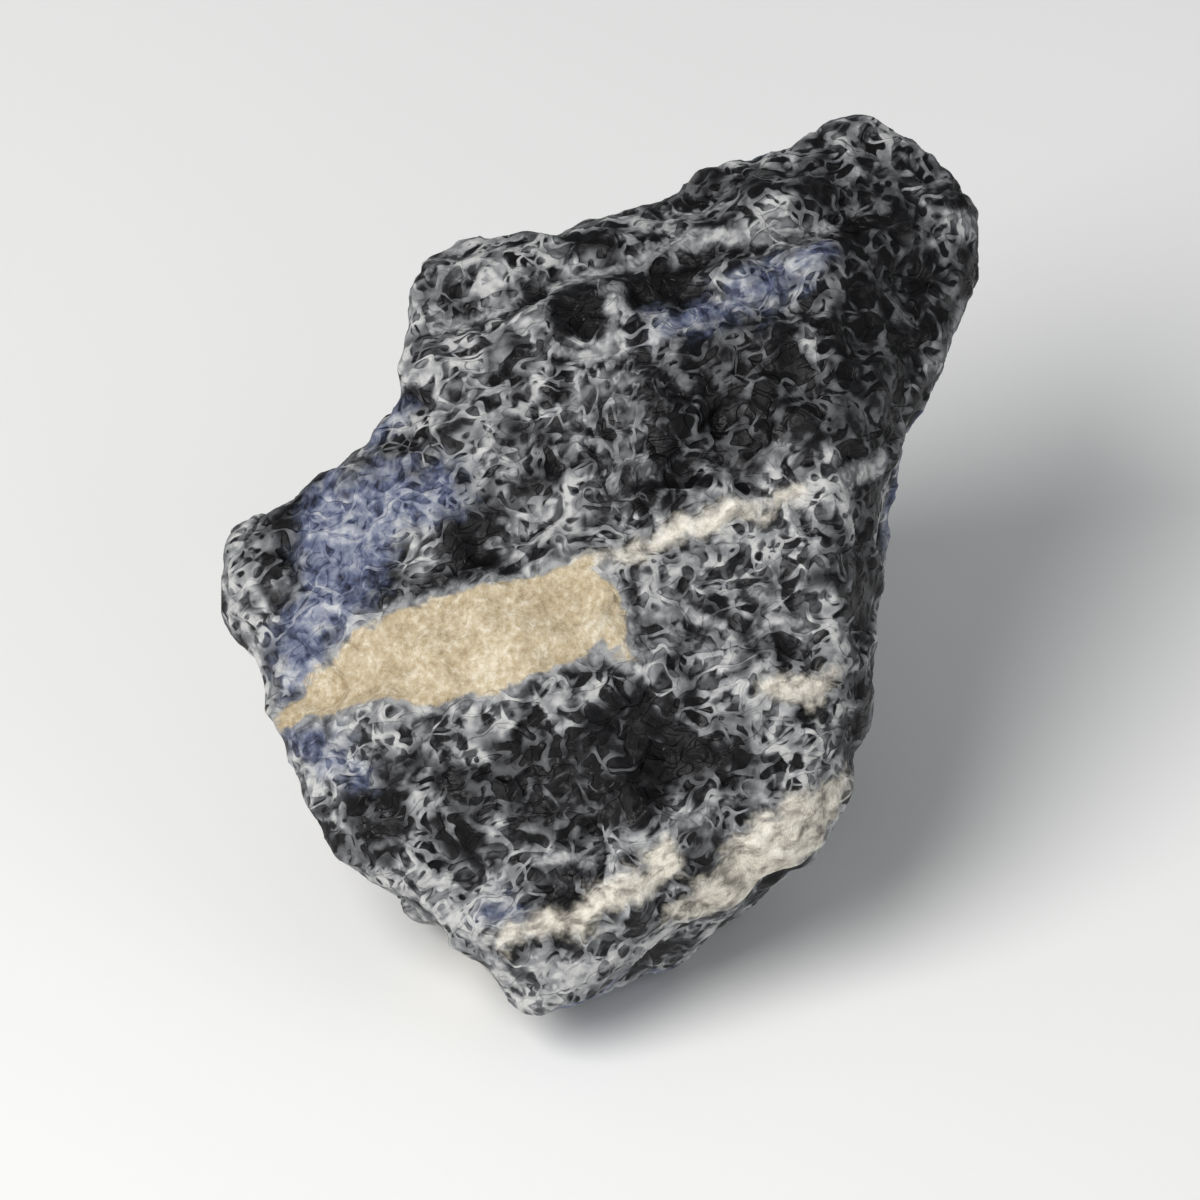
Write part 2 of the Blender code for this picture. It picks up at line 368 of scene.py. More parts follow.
def dropped(strokes):
    """(x, y, z, radius) on the stone along strokes that are painted from the front."""
    places = []
    for stroke in strokes:
        for start, end in zip(stroke, stroke[1:]):
            step = Vector(end) - Vector(start)
            count = max(1, int(step.xy.length / STROKE_STEP))
            for part in range(count + 1):
                across, along, radius = Vector(start) + step * part / count
                above = FACE_MIDDLE + FACE_RIGHT * across + FACE_UP * along + FACE_OUT * WELL_ABOVE
                hit, facing = smooth_skin.ray_cast(above * MM, -FACE_OUT)[:2]
                if hit and facing.dot(FACE_OUT) > LEAST_FACING:
                    places.append((*(hit / MM), radius))
    return places


def depth_inside(points, places):
    """For each point in millimetres, how far inside the nearest stroke it is."""
    deepest = np.full(len(points), NOWHERE)
    for x, y, z, radius in places:
        distance = np.sqrt(((points - (x, y, z)) ** 2).sum(axis=1))
        deepest = np.maximum(deepest, radius - distance)
    return deepest


# %% Rules for the hidden sides
ACROSS_LAYERS = np.array(FACE_RIGHT * -0.375 + FACE_UP * 0.927)
# How squarely a spot faces the front where the rules set in, and how soon they count fully
RULES_START = 0.30
RULES_GROW = 0.35
hidden = np.clip((RULES_START - facing_front) / RULES_GROW, 0.0, 1.0)


def slow_noise(size, seed):
    shift = Vector((seed, 2.0 * seed, -seed))
    return np.array([noise.noise(Vector(point) / size + shift) for point in surface])


def sheet(level, half, seed, steady=0.5):
    """Depth inside a wavy sheet across the rock; the less steady it is, the more it pinches out."""
    height = (surface - np.array(FACE_MIDDLE)) @ ACROSS_LAYERS - level
    swell = half * (steady + 1.7 * slow_noise(9.0, seed))
    return swell - np.abs(height - 1.1 * slow_noise(8.0, seed + 5.0))


def clouds(size, least, seed):
    """Depth inside clouds of slow noise, which lie where the noise is above the least value."""
    return (slow_noise(size, seed) - least) * size * 1.4


def paint(name, strokes, behind=NOWHERE):
    """Stores one marking on the stone: strokes on the front, a rule on the hidden sides."""
    depth = depth_inside(surface, dropped(strokes))
    depth = np.maximum(depth, NOWHERE + (np.clip(behind, NOWHERE, None) - NOWHERE) * hidden)
    store(stone, name, depth)
    print(name, "covers", round(100.0 * float((depth > 0.0).mean()), 1), "% of the points")


# %% Cream seam
CREAM = [
    # The lens-shaped seam, from its thin left end to its abrupt right end
    [(-18.9, -9.3, 0.3), (-16.5, -7.8, 1.3), (-13.9, -6.1, 2.2), (-11.2, -5.1, 2.9),
     (-8.2, -4.4, 3.3), (-5.0, -3.5, 3.1), (-1.8, -2.5, 2.9), (-1.2, -2.3, 2.9)],
    [(-0.4, 0.1, 0.7), (0.5, -1.0, 0.8), (0.9, -2.6, 0.9), (1.6, -4.3, 0.8), (2.2, -4.9, 0.5)],
]
# Behind, the seam thins from left to right, as it does on the front
SEAM_HALF = np.interp(surface[:, 0], (-8.0, 12.0), (1.6, 0.55))
paint("cream", CREAM, sheet(-1.1, SEAM_HALF, 3.0, 0.75))

# %% White veins, and painted highlights on the rims
VEINS_AND_RIM_HIGHLIGHTS = [
    # Along the groove under the top ledge
    [(-10.6, 14.6, 0.25), (-8.5, 15.2, 0.35), (-6.2, 16.0, 0.4), (-3.7, 16.7, 0.5),
     (-1.8, 17.6, 0.55), (1.4, 18.7, 0.55), (4.0, 19.7, 0.45), (6.6, 20.7, 0.8), (9.4, 20.8, 0.7),
     (11.4, 20.4, 0.45), (13.6, 21.6, 0.3)],
    # Beside the thin seam
    [(1.0, 0.7, 0.7), (3.4, 1.7, 0.55), (5.8, 2.7, 0.75), (8.4, 3.6, 0.75), (10.6, 4.3, 0.6),
     (12.4, 4.8, 0.5)],
    # Between and under the two pits below it
    [(-2.4, 13.6, 0.3), (-0.6, 13.2, 0.5), (1.2, 13.9, 0.6)],
    [(1.3, 14.2, 0.5), (1.5, 15.6, 0.4), (1.3, 17.0, 0.35)],
    # The curved vein above the foot
    [(-2.6, -17.4, 0.35), (-0.6, -17.5, 0.5), (1.3, -17.1, 0.5), (3.4, -16.5, 0.4),
     (5.4, -15.5, 0.4), (7.5, -14.4, 0.4), (9.8, -13.4, 0.4), (11.7, -12.6, 0.35)],
    # Painted highlights along the rims of the left end and of the foot
    [(-22.7, 1.8, 0.5), (-22.5, -0.5, 0.6), (-21.8, -2.6, 0.6), (-20.8, -4.6, 0.5)],
    [(-11.0, -19.8, 0.4), (-8.4, -21.4, 0.5), (-6.2, -23.2, 0.5), (-5.0, -25.0, 0.6), (-3.4, -26.4, 0.5)],
    [(-3.6, -23.4, 0.5), (-1.0, -24.2, 0.5), (1.6, -23.8, 0.4)],
    [(-2.6, -25.4, 0.5), (-0.4, -25.6, 0.5)],
    # The seam's end on the shaded right side, painted grey-white instead of cream: its shade is painted
    [(12.4, 4.8, 0.35), (14.2, 5.3, 0.4), (15.6, 5.7, 0.5), (16.8, 6.2, 0.8), (17.8, 6.7, 0.9)],
    # Branches round the seam
    [(3.5, 2.3, 0.3), (4.2, 4.2, 0.3), (5.2, 6.0, 0.3)],
    [(9.0, 3.6, 0.3), (8.0, 6.5, 0.25), (6.8, 8.4, 0.2)],
    [(4.8, -0.8, 0.4), (6.2, -2.6, 0.4), (8.0, -3.2, 0.3)],
    [(9.4, -4.4, 0.3), (11.0, -3.0, 0.5), (12.8, -3.2, 0.4), (13.4, -4.6, 0.3)],
]
paint("vein_and_rim_highlight", VEINS_AND_RIM_HIGHLIGHTS, np.maximum(sheet(17.0, 0.7, 8.0), sheet(-10.0, 0.5, 12.0)))

# %% Greyish cream crust
CRUSTS = [
    # The lower right, down to the foot
    [(15.0, -13.2, 0.9), (13.6, -15.0, 2.0), (12.0, -16.8, 2.6), (10.2, -18.2, 2.4), (8.2, -19.4, 1.6),
     (5.6, -20.6, 1.0)],
    [(4.8, -16.6, 0.4), (4.3, -17.8, 0.8), (2.8, -18.3, 0.6)],
    [(3.6, -18.8, 0.9), (0.6, -20.4, 0.8), (-0.4, -21.2, 0.9), (-2.8, -21.4, 0.6), (-5.6, -22.6, 0.5)],
    # The thin seam that runs on from the cream one to the right edge
    [(-0.6, 0.4, 0.5), (1.0, 0.7, 0.65), (2.2, 1.1, 0.6), (4.6, 2.3, 0.55), (7.0, 3.1, 0.65),
     (9.4, 3.9, 0.6), (11.0, 4.4, 0.5), (12.6, 4.8, 0.35)],
    # Small patches near the right edge
    [(11.0, -6.9, 0.5), (12.2, -7.2, 0.7), (13.6, -7.0, 0.5), (14.8, -6.1, 0.45)],
]
paint("crust", CRUSTS, sheet(-18.5, 1.5, 15.0))

# %% Blue clouds
BLUE = [
    # The large cloud at the left, and a small one above it
    [(-16.0, 6.0, 0.9), (-16.7, 3.4, 2.2), (-14.9, 0.8, 2.8), (-16.4, -2.2, 2.0), (-18.0, -5.0, 1.7),
     (-18.2, -6.8, 0.8)],
    [(-14.0, 2.5, 2.0), (-12.2, 4.3, 2.2), (-9.8, 5.0, 1.8)],
    [(-12.4, 9.6, 0.7), (-13.4, 8.0, 0.8)],
    # The streak under the top ledge
    [(4.5, 15.3, 0.5), (6.2, 15.8, 1.1), (8.2, 16.4, 1.2), (10.2, 17.3, 1.1), (12.3, 18.6, 0.9),
     (13.8, 19.8, 0.7)],
    # Under the cream seam's left end, and above the foot
    [(-18.1, -10.2, 0.8), (-17.0, -10.7, 1.2), (-15.4, -11.4, 1.1), (-14.2, -12.5, 0.6)],
    [(-6.2, -20.3, 0.4), (-4.4, -21.2, 0.4)],
]
paint("blue", BLUE, clouds(8.0, 0.23, 21.0))

# %% Glassy dark grains, where few veins show, with painted shade round the pits and on the shaded right side
GLASSY_GRAINS_AND_SHADE = [
    # Above the thin seam
    [(7.0, 13.8, 1.8), (10.2, 13.8, 2.4), (11.6, 10.8, 2.6), (8.8, 10.2, 2.4), (9.8, 7.2, 1.5)],
    # Round the two pits under the top ledge: dark grain, and painted shade of the pits
    [(-0.9, 15.9, 1.9), (-0.3, 15.7, 1.9)],
    [(3.2, 17.4, 1.5), (4.6, 17.6, 1.7), (6.0, 18.2, 1.4)],
    [(-1.0, 20.2, 0.7), (0.6, 20.8, 0.8)],
    [(-6.9, 3.2, 1.3), (-7.4, 0.6, 1.7)],
    [(4.0, 4.8, 1.1), (4.6, 4.4, 1.1)],
    [(-3.6, -10.4, 1.5), (-1.0, -12.3, 2.4), (2.6, -8.2, 1.5), (3.6, -10.2, 1.6)],
    [(-8.6, -12.6, 1.0), (-6.4, -13.2, 1.3), (-2.4, -15.2, 1.5), (2.4, -14.0, 1.4), (5.8, -12.0, 1.3)],
    [(5.4, 12.4, 1.0), (5.0, 8.6, 1.0)],
    [(-3.2, 8.0, 0.5), (-3.0, 6.4, 0.6)],
    [(-9.4, 6.0, 0.8), (-8.2, 5.2, 1.0)],
    [(-16.0, -16.2, 0.8), (-14.6, -17.2, 1.0), (-12.8, -17.6, 0.7)],
    [(6.0, -16.2, 1.0), (7.4, -16.4, 1.1), (5.8, -18.2, 0.8)],
    [(12.0, -10.0, 0.9), (12.8, -8.8, 0.8)],
    [(-14.4, -14.6, 1.1), (-12.6, -15.0, 1.4)],
    # The knob and the right side: dark grain, and painted shade where that side lies in shade
    [(18.2, 21.6, 3.2), (18.8, 16.6, 3.6), (16.8, 11.8, 3.0), (17.2, 3.0, 1.3), (16.6, -4.0, 1.0)],
    [(1.5, 23.0, 0.9), (5.0, 23.6, 1.3), (10.0, 24.4, 1.6), (14.0, 25.0, 1.8)],
]
paint("glassy", GLASSY_GRAINS_AND_SHADE, clouds(6.0, 0.12, 34.0))

# %% Clouds of pale hairlines
HAZE = [
    [(-9.5, 14.0, 1.8), (-7.0, 11.5, 2.2), (-5.5, 8.0, 1.8)],
    [(0.0, 13.6, 1.3), (1.0, 11.0, 1.4), (2.6, 7.4, 1.4)],
    [(-4.0, 3.0, 1.2), (-0.5, 3.4, 1.3), (3.5, 3.0, 0.9)],
    [(-3.6, 17.6, 0.7), (-3.2, 17.2, 0.7)],
    [(-2.8, 12.0, 1.1), (-2.4, 10.4, 1.1)],
    [(5.2, 6.4, 0.8), (6.2, 5.6, 0.8)],
    [(6.0, 1.0, 1.6), (9.5, 0.5, 2.2), (13.0, 0.0, 2.0), (12.5, -3.0, 1.6)],
    [(8.0, -5.0, 1.4), (11.0, -9.0, 1.6), (12.0, -12.0, 1.4)],
    [(-14.0, -9.6, 1.2), (-9.5, -9.4, 1.6), (-5.0, -8.0, 1.5), (-1.0, -6.8, 1.5), (2.6, -6.2, 0.9)],
    [(-17.5, -12.0, 0.9), (-17.0, -14.0, 0.5), (-12.0, -18.9, 1.0), (-8.0, -20.4, 1.4), (-5.0, -22.0, 1.4)],
    [(-4.6, -24.6, 2.0), (-2.0, -25.0, 2.4), (1.0, -23.6, 2.0), (4.0, -22.6, 1.6)],
    [(-21.5, 2.0, 1.2), (-21.4, 0.0, 1.8), (-20.4, -3.0, 1.8)],
    [(-10.5, 17.4, 1.0), (-4.0, 20.0, 0.9)],
]
paint("haze", HAZE, clouds(7.0, 0.10, 47.0))

# %% Black pits: painted shade in holes
PIT_SHADE_STROKES = [
    [(-1.1, 15.9, 1.5), (-0.4, 15.8, 1.5)],
    [(3.2, 17.2, 1.2), (4.6, 17.6, 1.2), (6.4, 18.5, 0.7)],
    [(-8.0, 2.4, 1.0), (-7.4, 1.6, 1.2)],
    [(4.0, 4.9, 0.8), (4.5, 4.5, 0.8)],
    [(7.0, 11.6, 0.5), (7.6, 10.2, 0.6)],
    [(-11.2, 11.2, 0.5), (-10.4, 10.8, 0.4)],
    [(2.9, -8.0, 0.9), (3.4, -9.2, 0.9)],
]
paint("pit_shade", PIT_SHADE_STROKES)

# %% Places where the grain runs up the face
STREAKS = [
    [(0.4, 13.0, 1.0), (0.6, 9.0, 1.4), (1.4, 5.6, 1.0)],
    [(3.2, 12.6, 1.0), (3.4, 9.0, 1.6), (4.6, 6.4, 1.0)],
]
paint("streaks", STREAKS)

# %% [markdown]
# ## Helpers for the material
# A material is a tree of nodes. Short helpers keep the tree readable: one adds a node and
# links or fills its inputs, the others name the few sums that come up again and again. The
# soft step turns a smooth value into a mask with an edge as sharp or as blurred as wanted.

# %% Node helpers
def connect(tree, made, name, value):
    if isinstance(value, bpy.types.NodeSocket):
        tree.links.new(value, made.inputs[name])
    else:
        made.inputs[name].default_value = value


def node(tree, kind, inputs=None, **settings):
    """Adds a node; inputs are sockets to link or values to fill in."""
    made = tree.nodes.new(kind)
    for name, value in settings.items():
        setattr(made, name, value)
    for name, value in (inputs or {}).items():
        connect(tree, made, name, value)
    return made


def calculate(tree, operation, first, second=0.0, clamp=False):
    made = node(tree, "ShaderNodeMath", {0: first, 1: second}, operation=operation, use_clamp=clamp)
    return made.outputs[0]


def times(tree, first, second):
    return calculate(tree, "MULTIPLY", first, second)


def highest(tree, *values):
    top = values[0]
    for value in values[1:]:
        top = calculate(tree, "MAXIMUM", top, value)
    return top


def arrow(tree, operation, first, second, output=0):
    """One step of vector arithmetic; a dot product has its result in the Value output."""
    other = "Scale" if operation == "SCALE" else 1
    return node(tree, "ShaderNodeVectorMath", {0: first, other: second}, operation=operation).outputs[output]


def soft_step(tree, value, low, high, bottom=0.0, top=1.0):
    """Runs smoothly from bottom to top as value goes from low to high."""
    inputs = {"Value": value, "From Min": low, "From Max": high, "To Min": bottom, "To Max": top}
    return node(tree, "ShaderNodeMapRange", inputs, interpolation_type="SMOOTHSTEP").outputs["Result"]


def blend(tree, share, first, second):
    """The first colour where share is 0 and the second where it is 1."""
    return node(tree, "ShaderNodeMix", {0: share, 6: first, 7: second}, data_type="RGBA").outputs[2]


def between(tree, share, first, second):
    """The first number where share is 0 and the second where it is 1."""
    return node(tree, "ShaderNodeMix", {0: share, 2: first, 3: second}, data_type="FLOAT").outputs[0]


def cloud(tree, place, size, detail=2.0, roughness=0.5):
    """Noise from 0 to 1 whose lumps are about size millimetres wide."""
    inputs = {"Vector": place, "Scale": 1.0 / size, "Detail": detail, "Roughness": roughness}
    return node(tree, "ShaderNodeTexNoise", inputs).outputs


def bent(tree, place, amount):
    """Pushes space about by slow noise, so that a pattern there bends."""
    slow = cloud(tree, place, 2.3, 1.0)["Color"]
    push = arrow(tree, "SUBTRACT", slow, (0.5, 0.5, 0.5))
    return arrow(tree, "ADD", place, arrow(tree, "SCALE", push, amount))


def squeezed(tree, place, axis, amount):
    """Squeezes space along an axis, so that a pattern there is drawn out across it."""
    along = arrow(tree, "DOT_PRODUCT", place, axis, "Value")
    return arrow(tree, "ADD", place, arrow(tree, "SCALE", axis, times(tree, along, amount)))


def attribute(tree, name):
    """A number that every point of the mesh stores."""
    return node(tree, "ShaderNodeAttribute", attribute_name=name).outputs["Fac"]


print("helpers ready")

# %% [markdown]
# ## Effects as node groups
# The broken grain, the strands and the ragged edges are each used several times with other
# values, so each is a node group with named inputs. They put out only masks, heights and
# shades, and the shader itself stays in the material.

# %% Start a group
FLOAT = "NodeSocketFloat"
VECTOR = "NodeSocketVector"


def new_group(name, inputs, outputs):
    group = bpy.data.node_groups.new(name, "ShaderNodeTree")
    group.interface.new_socket("Place", in_out="INPUT", socket_type=VECTOR)
    for title, value in inputs:
        group.interface.new_socket(title, in_out="INPUT", socket_type=FLOAT).default_value = value
    for title in outputs:
        group.interface.new_socket(title, in_out="OUTPUT", socket_type=FLOAT)
    return group, group.nodes.new("NodeGroupInput").outputs, group.nodes.new("NodeGroupOutput").inputs


def use(tree, group, output=0, **inputs):
    """Places a node group in a tree and fills its inputs."""
    made = node(tree, "ShaderNodeGroup", node_tree=group)
    for name, value in inputs.items():
        connect(tree, made, name, value)
    return made.outputs[output]


# %% Group: broken grain
def grain_group():
    """Bent cells of glassy mineral: the pale film between them, their tilt and their own shade."""
    inputs = [("Cell", 2.0), ("Film", 0.4), ("Bend", 1.0), ("Tilt", 0.5)]
    group, given, result = new_group("broken grain", inputs, ["Lines", "Height", "Shade"])
    often = calculate(group, "DIVIDE", 1.0, given["Cell"])
    curved = bent(group, given["Place"], given["Bend"])
    where = {"Vector": curved, "Scale": often}
    edges = node(group, "ShaderNodeTexVoronoi", where, feature="DISTANCE_TO_EDGE")
    gap = times(group, edges.outputs["Distance"], given["Cell"])
    uneven = soft_step(group, cloud(group, given["Place"], 1.5, 0.0)["Fac"], 0.3, 0.7, 0.35, 1.5)
    near = calculate(group, "DIVIDE", gap, times(group, given["Film"], uneven))
    group.links.new(soft_step(group, near, 0.35, 1.0, 1.0, 0.0), result["Lines"])

    cells = node(group, "ShaderNodeTexVoronoi", where).outputs
    turn = arrow(group, "SUBTRACT", cells["Color"], (0.5, 0.5, 0.5))
    away = arrow(group, "SUBTRACT", curved, cells["Position"])
    slope = arrow(group, "DOT_PRODUCT", turn, away, "Value")
    group.links.new(times(group, slope, given["Tilt"]), result["Height"])
    shade = node(group, "ShaderNodeSeparateColor", {"Color": cells["Color"]})
    group.links.new(shade.outputs["Red"], result["Shade"])
    return group


broken = grain_group()
print("group:", broken.name)

# %% Group: strands
def strand_group():
    """Smooth strands, where slow noise passes through its middle value."""
    inputs = [("Size", 2.0), ("Width", 0.08)]
    group, given, result = new_group("strands", inputs, ["Lines"])
    often = calculate(group, "DIVIDE", 1.0, given["Size"])
    inputs = {"Vector": given["Place"], "Scale": often, "Detail": 1.0, "Roughness": 0.45}
    wave = node(group, "ShaderNodeTexNoise", inputs).outputs["Fac"]
    off = calculate(group, "ABSOLUTE", calculate(group, "SUBTRACT", wave, 0.5))
    core = times(group, given["Width"], 0.5)
    group.links.new(soft_step(group, off, core, given["Width"], 1.0, 0.0), result["Lines"])
    return group


strands = strand_group()
print("group:", strands.name)

# %% Group: ragged edge
def ragged_group():
    """A mask from a painted depth, its edge broken up by noise."""
    inputs = [("Depth", 0.0), ("Ragged", 0.8), ("Blur", 0.2)]
    group, given, result = new_group("ragged edge", inputs, ["Mask"])
    rough = calculate(group, "SUBTRACT", cloud(group, given["Place"], 1.7, 3.0, 0.6)["Fac"], 0.5)
    depth = calculate(group, "ADD", given["Depth"], times(group, times(group, rough, given["Ragged"]), 2.0))
    low = times(group, given["Blur"], -1.0)
    group.links.new(soft_step(group, depth, low, given["Blur"]), result["Mask"])
    return group


ragged = ragged_group()
print("group:", ragged.name)

# %% [markdown]
# ## The sodalite material
# One number does most of the work: how pale the rock is at a point, from 0 in a glassy dark
# grain to 1 on a white vein. It is built up from a grey film, long and short strands, a net
# round the broken grain, the raised threads and the worn crests, and painted highlights on a
# few rims. It is cut down where few veins gather, and painted shade darkens the hollows and
# the pits. Three palettes turn that number into colour: charcoal rock, blue clouds and
# cream-stained crust. So the veins run on through the blue, as they do in the real mineral.
# The cream seam lies over them all. Gloss comes last, since glassy grains shine and feldspar
# doesn't, with a fine height that catches the light.

# %% Palettes
CHARCOAL = ((0.0, (0.003, 0.003, 0.0034)), (0.2, (0.016, 0.016, 0.018)), (0.42, (0.088, 0.090, 0.095)),
            (0.72, (0.245, 0.249, 0.257)), (1.0, (0.50, 0.50, 0.49)))
BLUES = ((0.0, (0.016, 0.019, 0.036)), (0.28, (0.092, 0.110, 0.188)), (0.6, (0.235, 0.256, 0.330)),
         (1.0, (0.50, 0.51, 0.53)))
CRUST = ((0.0, (0.18, 0.165, 0.14)), (0.3, (0.43, 0.40, 0.345)), (0.6, (0.65, 0.605, 0.52)),
         (1.0, (0.82, 0.785, 0.70)))
SEAM = ((0.0, (0.30, 0.225, 0.13)), (0.35, (0.435, 0.352, 0.228)), (0.65, (0.535, 0.452, 0.316)),
        (1.0, (0.72, 0.655, 0.53)))


def palette(tree, value, stops):
    """Looks a value up in a row of (position, colour) stops."""
    made = node(tree, "ShaderNodeValToRGB", {"Fac": value})
    ramp = made.color_ramp
    while len(ramp.elements) < len(stops):
        ramp.elements.new(0.5)
    for element, (position, colour) in zip(ramp.elements, stops):
        element.position = position
        element.color = (*colour, 1.0)
    return made.outputs["Color"]


print("palettes:", len(CHARCOAL), len(BLUES), len(CRUST), len(SEAM), "stops")

# %% Masks from the painted markings
def marking(tree, place, name, broken_by, blur):
    """The mask of one marking; broken_by and blur say how its edge is roughened, in millimetres."""
    return use(tree, ragged, Place=place, Depth=attribute(tree, name), Ragged=broken_by, Blur=blur)


def veins_and_rim_highlights(tree, place):
    """The painted veins with the painted highlights on the outline's rims, and the rim of the cream seam."""
    vein_and_rim_highlight = marking(tree, place, "vein_and_rim_highlight", 0.9, 0.35)
    wider = calculate(tree, "ADD", attribute(tree, "cream"), 0.8)
    rim = use(tree, ragged, Place=place, Depth=wider, Ragged=1.2, Blur=0.5)
    return highest(tree, vein_and_rim_highlight, times(tree, rim, 0.85))


def vein_density(tree, place):
    """Where veins gather: everywhere a little, more in the haze, few in the glassy grains and where shade is
    painted.
    """
    patchy = soft_step(tree, cloud(tree, place, 4.2, 3.0, 0.55)["Fac"], 0.34, 0.64)
    hazy = marking(tree, place, "haze", 1.6, 1.4)
    glassy = marking(tree, place, "glassy", 1.3, 1.0)
    density = calculate(tree, "ADD", times(tree, patchy, 0.85), times(tree, hazy, 0.6))
    return calculate(tree, "SUBTRACT", density, times(tree, glassy, 0.9))


print("masks ready")

# %% How pale the rock is
LONG = {"Size": 2.7, "Width": 0.070}
SHORT = {"Size": 1.45, "Width": 0.095}
UPRIGHT = {"Size": 1.9, "Width": 0.085}
NET = {"Cell": 2.0, "Film": 0.31, "Bend": 2.8}


def fine_veins(tree, place, curved, bedded, film):
    """The grey film with long strands, short strands and a net, each strong in its own places."""
    masks = node(tree, "ShaderNodeSeparateColor", {"Color": cloud(tree, place, 2.8, 0.0)["Color"]})
    here, there, elsewhere = (soft_step(tree, masks.outputs[name], 0.36, 0.56, 0.35, 1.0)
                              for name in ("Red", "Green", "Blue"))
    long = use(tree, strands, Place=bedded, **LONG)
    short = use(tree, strands, Place=curved, **SHORT)
    net = use(tree, broken, Place=place, **NET)
    value = highest(tree, times(tree, film, 0.40), times(tree, long, here), times(tree, short, there),
                    times(tree, net, elsewhere))
    upright = squeezed(tree, curved, tuple(FACE_RIGHT), 1.3)
    streaks = use(tree, strands, Place=upright, **UPRIGHT)
    painted = marking(tree, place, "streaks", 1.5, 1.0)
    return between(tree, times(tree, painted, 0.8), value, times(tree, streaks, 0.8))


def paleness(tree, place, curved, bedded):
    """The number from 0, glassy and dark, to 1, white vein."""
    density = vein_density(tree, place)
    film = soft_step(tree, cloud(tree, bedded, 2.2, 3.0, 0.55)["Fac"], 0.44, 0.66)
    value = fine_veins(tree, place, curved, bedded, film)
    thread = soft_step(tree, attribute(tree, "thread"), 0.35, 1.0)
    value = highest(tree, value, times(tree, thread, 0.65))
    value = calculate(tree, "ADD", times(tree, value, 0.86), times(tree, film, 0.06))

    # Uneven from spot to spot, and thinned out where few veins gather
    tone = soft_step(tree, cloud(tree, place, 1.2, 1.0)["Fac"], 0.32, 0.62, 0.74, 1.1)
    cut = soft_step(tree, density, -0.3, 0.95, 0.53, 0.0)
    value = calculate(tree, "SUBTRACT", times(tree, value, tone), cut)
    value = calculate(tree, "MAXIMUM", value, 0.0)

    # Worn crests are paler; painted shade darkens the hollows and the pits
    crest = times(tree, soft_step(tree, attribute(tree, "crest"), 0.15, 0.9), 0.22)
    worn = times(tree, crest, soft_step(tree, density, 0.0, 0.8, 0.35, 1.0))
    value = calculate(tree, "ADD", value, worn)
    hollow_shade = times(tree, soft_step(tree, attribute(tree, "crest"), -0.1, -0.8), 0.6)
    value = calculate(tree, "SUBTRACT", value, times(tree, hollow_shade, value), clamp=True)
    # Painted shade in the pits, nearly black
    pit_shade = marking(tree, place, "pit_shade", 0.8, 0.45)
    value = times(tree, value, soft_step(tree, pit_shade, 0.0, 1.0, 1.0, 0.15))

    # The painted veins and painted rim highlights lie on top, stronger here and weaker there
    strong = soft_step(tree, cloud(tree, place, 1.1, 2.0, 0.55)["Fac"], 0.34, 0.62, 0.55, 0.96)
    return highest(tree, value, times(tree, veins_and_rim_highlights(tree, place), strong))


print("paleness ready")

# %% Colour
def rock_colour(tree, place, bedded, pale, grain, crust, cream):
    """Charcoal rock, over it the blue clouds, the crust, and last the cream seam."""
    rock = palette(tree, pale, CHARCOAL)

    blue = marking(tree, place, "blue", 2.6, 1.2)
    mottle = soft_step(tree, cloud(tree, place, 0.9, 2.0, 0.6)["Fac"], 0.35, 0.68, 0.0, 0.45)
    blue_value = calculate(tree, "ADD", times(tree, pale, 0.62), mottle)
    rock = blend(tree, times(tree, blue, 0.92), rock, palette(tree, blue_value, BLUES))

    fibre = soft_step(tree, cloud(tree, bedded, 1.4, 4.0, 0.6)["Fac"], 0.32, 0.68)
    crust_value = calculate(tree, "ADD", times(tree, fibre, 0.8), times(tree, pale, 0.25))
    rock = blend(tree, crust, rock, palette(tree, crust_value, CRUST))

    stain = cloud(tree, place, 3.0)["Fac"]
    seam_value = soft_step(tree, calculate(tree, "ADD", grain, times(tree, stain, 0.5)), 0.40, 1.06)
    return blend(tree, cream, rock, palette(tree, seam_value, SEAM))


print("colour ready")

# %% Gloss and fine height
CHIP = {"Cell": 1.0, "Bend": 1.8}


def dullness(tree, place, pale, crust, cream):
    """Roughness: the faces of glassy grains shine, veins and feldspar are dull."""
    face = soft_step(tree, use(tree, broken, "Shade", Place=place, **CHIP), 0.0, 1.0, 0.26, 0.55)
    dull = highest(tree, cream, crust, soft_step(tree, pale, 0.15, 0.6))
    return between(tree, dull, face, 0.85)


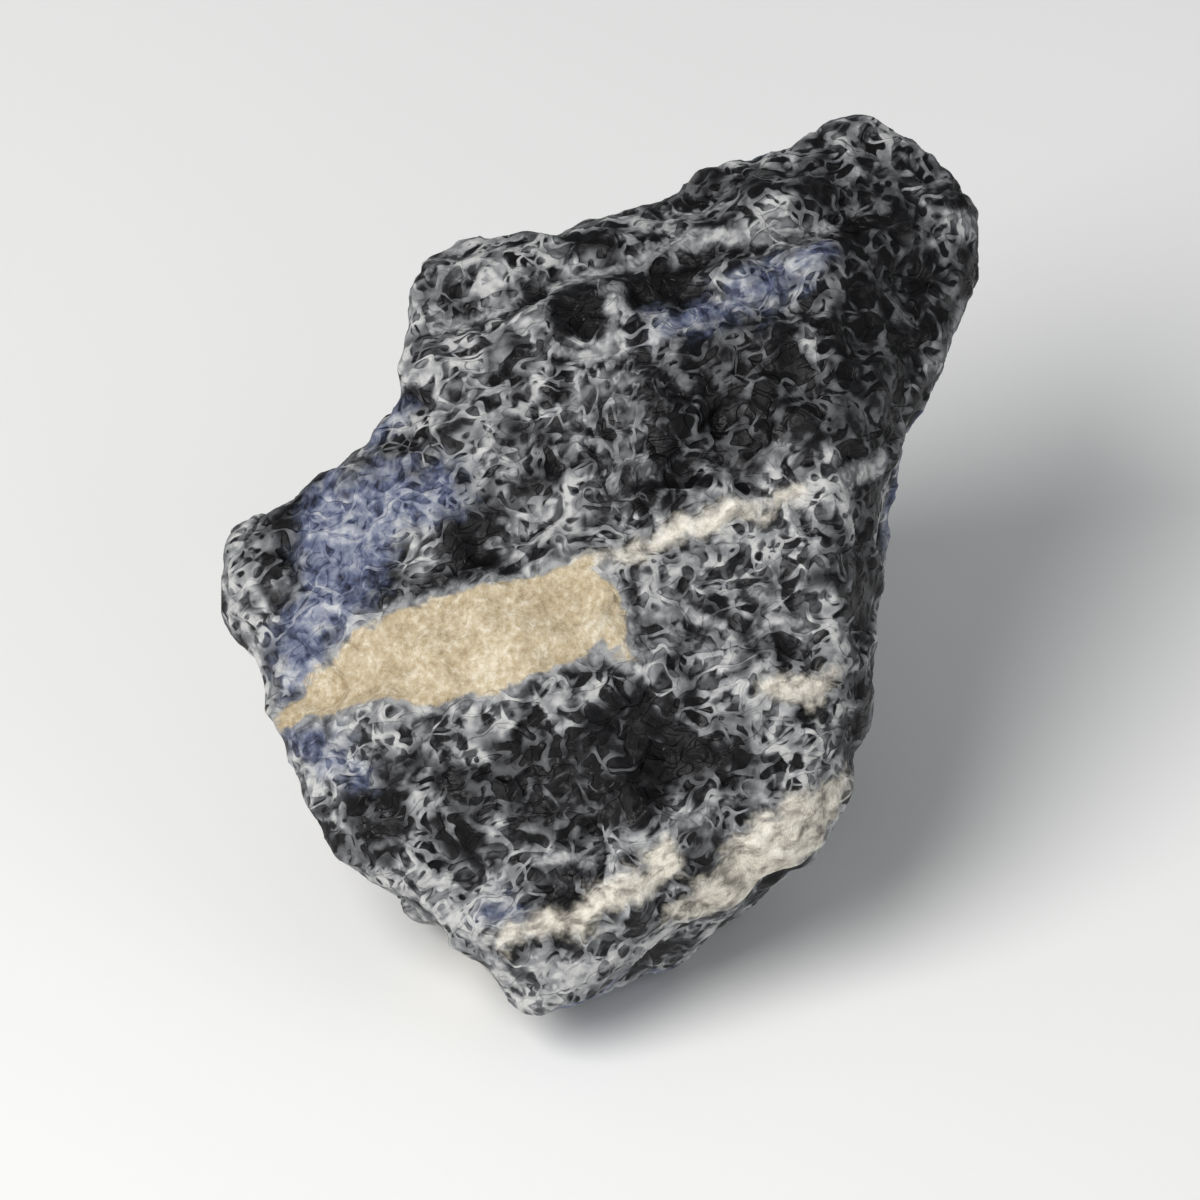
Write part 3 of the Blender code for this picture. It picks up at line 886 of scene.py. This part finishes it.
def fine_height(tree, place, curved, bedded, grain):
    """Height in millimetres: tilted chips, proud strands between them, granular cream."""
    chip = use(tree, broken, "Height", Place=place, Tilt=0.42, **CHIP)
    long = use(tree, strands, Place=bedded, **LONG)
    short = use(tree, strands, Place=curved, **SHORT)
    proud = calculate(tree, "ADD", times(tree, long, 0.07), times(tree, short, 0.05))
    height = calculate(tree, "ADD", chip, proud)
    pale_stuff = highest(tree, attribute(tree, "cream"), attribute(tree, "crust"))
    bare = soft_step(tree, pale_stuff, -0.4, 0.4)
    height = times(tree, height, soft_step(tree, bare, 0.0, 1.0, 1.0, 0.15))
    granular = soft_step(tree, bare, 0.0, 1.0, 0.07, 0.20)
    return calculate(tree, "ADD", height, times(tree, grain, granular))


print("gloss and height ready")

# %% Build the material
def sodalite_material():
    material = bpy.data.materials.new("sodalite")
    material.use_nodes = True
    tree = material.node_tree
    shader = tree.nodes["Principled BSDF"]

    # All patterns are laid out in millimetres: as they are, bent, and drawn out in layers
    spot = node(tree, "ShaderNodeTexCoord").outputs["Object"]
    place = node(tree, "ShaderNodeMapping", {"Vector": spot, "Scale": (1.0 / MM,) * 3}).outputs[0]
    curved = bent(tree, place, 1.5)
    bedded = squeezed(tree, curved, tuple(ACROSS_LAYERS), 0.9)

    pale = paleness(tree, place, curved, bedded)
    cream = marking(tree, place, "cream", 1.25, 0.25)
    crust = marking(tree, place, "crust", 2.0, 0.7)
    grain = cloud(tree, place, 0.5, 4.0, 0.7)["Fac"]
    colour = rock_colour(tree, place, bedded, pale, grain, crust, cream)
    tree.links.new(colour, shader.inputs["Base Color"])

    tree.links.new(dullness(tree, place, pale, crust, cream), shader.inputs["Roughness"])
    shader.inputs["Specular IOR Level"].default_value = 0.18

    height = fine_height(tree, place, curved, bedded, grain)
    bump = node(tree, "ShaderNodeBump", {"Strength": 1.0, "Distance": 1.0 * MM, "Height": height})
    tree.links.new(bump.outputs["Normal"], shader.inputs["Normal"])
    return material


stone.data.materials.clear()
stone.data.materials.append(sodalite_material())
print("nodes in the material:", len(stone.data.materials[0].node_tree.nodes))

# %% Let the stone stand for its solid, and finish
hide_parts(STONE)
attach(stone, "root")
